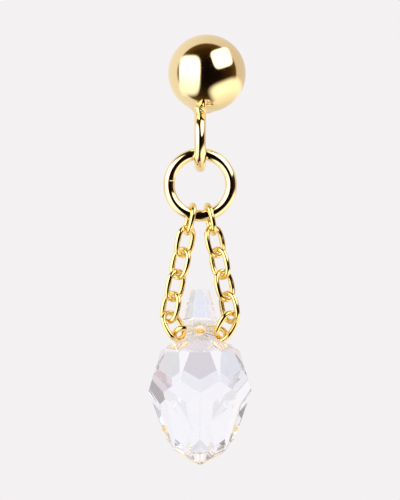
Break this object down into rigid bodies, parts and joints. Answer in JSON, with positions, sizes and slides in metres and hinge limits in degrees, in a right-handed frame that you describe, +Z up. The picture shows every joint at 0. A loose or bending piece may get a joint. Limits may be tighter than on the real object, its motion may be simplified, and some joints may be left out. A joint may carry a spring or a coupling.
{
  "type": "drop earring",
  "caption": "Drop earring: polished ball on an ear post, jump ring, fine cable chain and a faceted teardrop crystal.",
  "frame": {"origin": "where the ear post leaves the back of the ball, on the post's axis", "axes": "+Z up along the hanging drop, +Y back along the ear post into the ear, -Y to the front, +X to the right as seen from the front"},
  "size_m": [0.0053, 0.0157, 0.0222],
  "materials": {
    "gold_plated_brass": "polished",
    "cut_crystal_glass": "polished"
  },
  "bodies": {
    "stud": {"ball_stud": "gold_plated_brass"},
    "ring": {"jump_ring": "gold_plated_brass"},
    "drop": {"chain_link_left_1": "gold_plated_brass", "chain_link_left_2": "gold_plated_brass", "chain_link_left_3": "gold_plated_brass", "chain_link_left_4": "gold_plated_brass", "chain_link_left_5": "gold_plated_brass", "chain_link_left_6": "gold_plated_brass", "chain_link_left_7": "gold_plated_brass", "chain_link_right_1": "gold_plated_brass", "chain_link_right_2": "gold_plated_brass", "chain_link_right_3": "gold_plated_brass", "chain_link_right_4": "gold_plated_brass", "chain_link_right_5": "gold_plated_brass", "chain_link_right_6": "gold_plated_brass", "chain_link_right_7": "gold_plated_brass", "crystal_drop": "cut_crystal_glass"}
  },
  "joints": [
    {"name": "ring_side_swing", "type": "hinge", "parent": "stud", "child": "ring", "pos_m": [-0.00035, -0.002, -0.00478], "axis": [0, 1, 0], "range_deg": [-75, 75]},
    {"name": "drop_fore_aft_swing", "type": "hinge", "parent": "ring", "child": "drop", "pos_m": [-0.00035, -0.002, -0.00726], "axis": [1, 0, 0], "range_deg": [-75, 75]}
  ]
}
